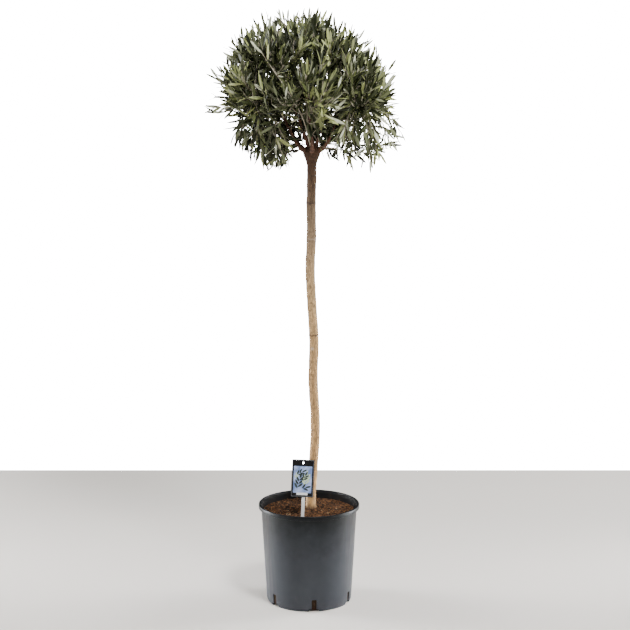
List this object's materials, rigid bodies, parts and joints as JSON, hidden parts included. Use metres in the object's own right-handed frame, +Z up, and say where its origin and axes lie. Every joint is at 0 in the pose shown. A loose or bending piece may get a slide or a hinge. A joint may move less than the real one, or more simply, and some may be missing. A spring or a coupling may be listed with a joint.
{
  "type": "potted olive tree",
  "caption": "Young olive tree grown as a standard: a bare wavy stem under a round leafy head, in a black round nursery pot with a stake label.",
  "frame": {"origin": "middle of the pot's flat underside, on the ground", "axes": "+Z up along the stem, -Y towards the side that the plant label faces, +X to the right of the label"},
  "size_m": [0.4896, 0.4412, 1.4696],
  "materials": {
    "pot": "black injection moulded nursery plastic with a soft sheen",
    "compost": "brown crumbly bark compost",
    "bark": "pale grey-brown olive bark with fine cracks",
    "foliage": "grey-green olive leaves, silvery below",
    "label_card": "printed plastic card",
    "label_stake": "white moulded plastic"
  },
  "bodies": {
    "root": {"pot": "pot", "compost": "compost", "label_card": "label_card", "label_stake": "label_stake", "trunk": "bark", "bough_top": "bark", "bough_upper_1": "bark", "bough_upper_2": "bark", "bough_upper_3": "bark", "bough_upper_4": "bark", "bough_lower_1": "bark", "bough_lower_2": "bark", "bough_lower_3": "bark", "bough_lower_4": "bark", "bough_lower_5": "bark", "bough_lower_6": "bark", "foliage_top": "foliage", "foliage_upper_1": "foliage", "foliage_upper_2": "foliage", "foliage_upper_3": "foliage", "foliage_upper_4": "foliage", "foliage_lower_1": "foliage", "foliage_lower_2": "foliage", "foliage_lower_3": "foliage", "foliage_lower_4": "foliage", "foliage_lower_5": "foliage", "foliage_lower_6": "foliage"}
  },
  "joints": []
}
